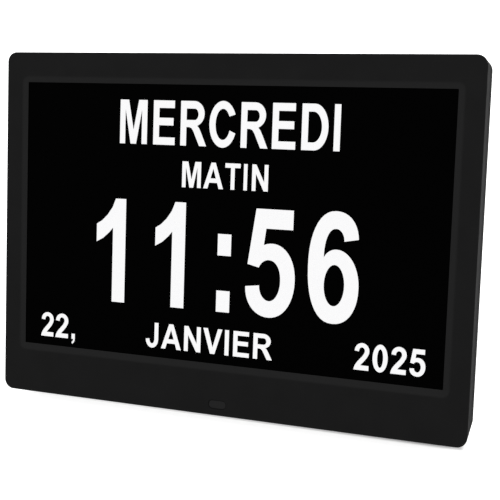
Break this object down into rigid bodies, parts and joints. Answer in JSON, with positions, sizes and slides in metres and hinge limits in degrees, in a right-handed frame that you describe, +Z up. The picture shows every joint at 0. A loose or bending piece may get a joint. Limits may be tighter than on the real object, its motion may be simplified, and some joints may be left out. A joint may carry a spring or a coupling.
{
  "type": "digital desk clock",
  "caption": "Flat black digital day clock with a wide screen, rear push buttons, wall keyholes and a fold-out rear leg.",
  "frame": {"origin": "on the desk, under the middle of the whole clock as it stands with its leg open", "axes": "+X to the right as seen from the front, +Y towards the back, +Z up; the case leans back by 15 degrees, so its front faces -Y and slightly up"},
  "size_m": [0.2416, 0.0785, 0.18],
  "materials": {
    "case_black": "fine satin moulded surface",
    "cover_black": "fine moulded grain",
    "button_black": "smooth satin",
    "screen_glass": "black screen behind a smooth polariser",
    "readout_white": "lit white figures of the readout",
    "window_dark": "dark clear plastic",
    "foam_black": "soft foam",
    "inner_black": "plain moulded",
    "film_white": "white film",
    "acrylic_clear": "clear polished sheet",
    "steel": "plated",
    "screw_black": "black oxide",
    "rubber_black": "matte rubber",
    "board_green": "solder mask",
    "chip_black": "moulded epoxy",
    "can_aluminium": "drawn can",
    "connector_white": "moulded nylon",
    "ribbon_white": "flat film cable",
    "cable_grey": "soft sheath"
  },
  "bodies": {
    "case": {"front_bezel": "case_black", "rear_cover": "cover_black", "ir_window": "window_dark", "screen_gasket": "foam_black", "lcd_glass": "screen_glass", "lcd_frame": "inner_black", "diffuser_sheet": "film_white", "light_guide_plate": "acrylic_clear", "reflector_sheet": "film_white", "backlight_led_strip": "film_white", "lcd_rear_tray": "steel", "screen_clamps": "steel", "case_screws": "screw_black", "rubber_feet": "rubber_black", "stand_hinge_pin": "steel", "key_switches": "inner_black", "key_board": "board_green", "main_board": "board_green", "ir_board": "board_green", "ir_receiver": "chip_black", "small_screws": "steel", "main_processor": "chip_black", "memory_chip": "chip_black", "clock_crystal": "steel", "power_inductor": "chip_black", "power_capacitors": "can_aluminium", "lcd_connector": "connector_white", "coin_cell_holder": "inner_black", "coin_cell": "steel", "power_inlet": "inner_black", "usb_port": "steel", "card_slot": "steel", "speaker": "inner_black", "speaker_gasket": "foam_black", "cable_headers": "connector_white", "lcd_ribbon_cable": "ribbon_white", "key_cable": "cable_grey", "speaker_cable": "cable_grey", "ir_cable": "cable_grey"},
    "stand": {"stand_leg": "cover_black", "stand_foot_pad": "rubber_black"},
    "power_key": {"power_button": "button_black", "power_plunger": "inner_black"},
    "menu_key": {"menu_button": "button_black", "menu_plunger": "inner_black"},
    "left_key": {"left_button": "button_black", "left_plunger": "inner_black"},
    "up_key": {"up_button": "button_black", "up_plunger": "inner_black"},
    "down_key": {"down_button": "button_black", "down_plunger": "inner_black"},
    "right_key": {"right_button": "button_black", "right_plunger": "inner_black"},
    "ok_key": {"ok_button": "button_black", "ok_plunger": "inner_black"}
  },
  "joints": [
    {"name": "stand_hinge", "type": "hinge", "parent": "case", "child": "stand", "pos_m": [0, 0.01834, 0.10746], "axis": [-1, 0, 0], "range_deg": [0, 25]},
    {"name": "power_press", "type": "slide", "parent": "case", "child": "power_key", "axis": [0, -0.9659, 0.2588], "range_m": [0, 0.0005], "stiffness_N_per_m": 1500},
    {"name": "menu_press", "type": "slide", "parent": "case", "child": "menu_key", "axis": [0, -0.9659, 0.2588], "range_m": [0, 0.0005], "stiffness_N_per_m": 1500},
    {"name": "left_press", "type": "slide", "parent": "case", "child": "left_key", "axis": [0, -0.9659, 0.2588], "range_m": [0, 0.0005], "stiffness_N_per_m": 1500},
    {"name": "up_press", "type": "slide", "parent": "case", "child": "up_key", "axis": [0, -0.9659, 0.2588], "range_m": [0, 0.0005], "stiffness_N_per_m": 1500},
    {"name": "down_press", "type": "slide", "parent": "case", "child": "down_key", "axis": [0, -0.9659, 0.2588], "range_m": [0, 0.0005], "stiffness_N_per_m": 1500},
    {"name": "right_press", "type": "slide", "parent": "case", "child": "right_key", "axis": [0, -0.9659, 0.2588], "range_m": [0, 0.0005], "stiffness_N_per_m": 1500},
    {"name": "ok_press", "type": "slide", "parent": "case", "child": "ok_key", "axis": [0, -0.9659, 0.2588], "range_m": [0, 0.0005], "stiffness_N_per_m": 1500}
  ]
}
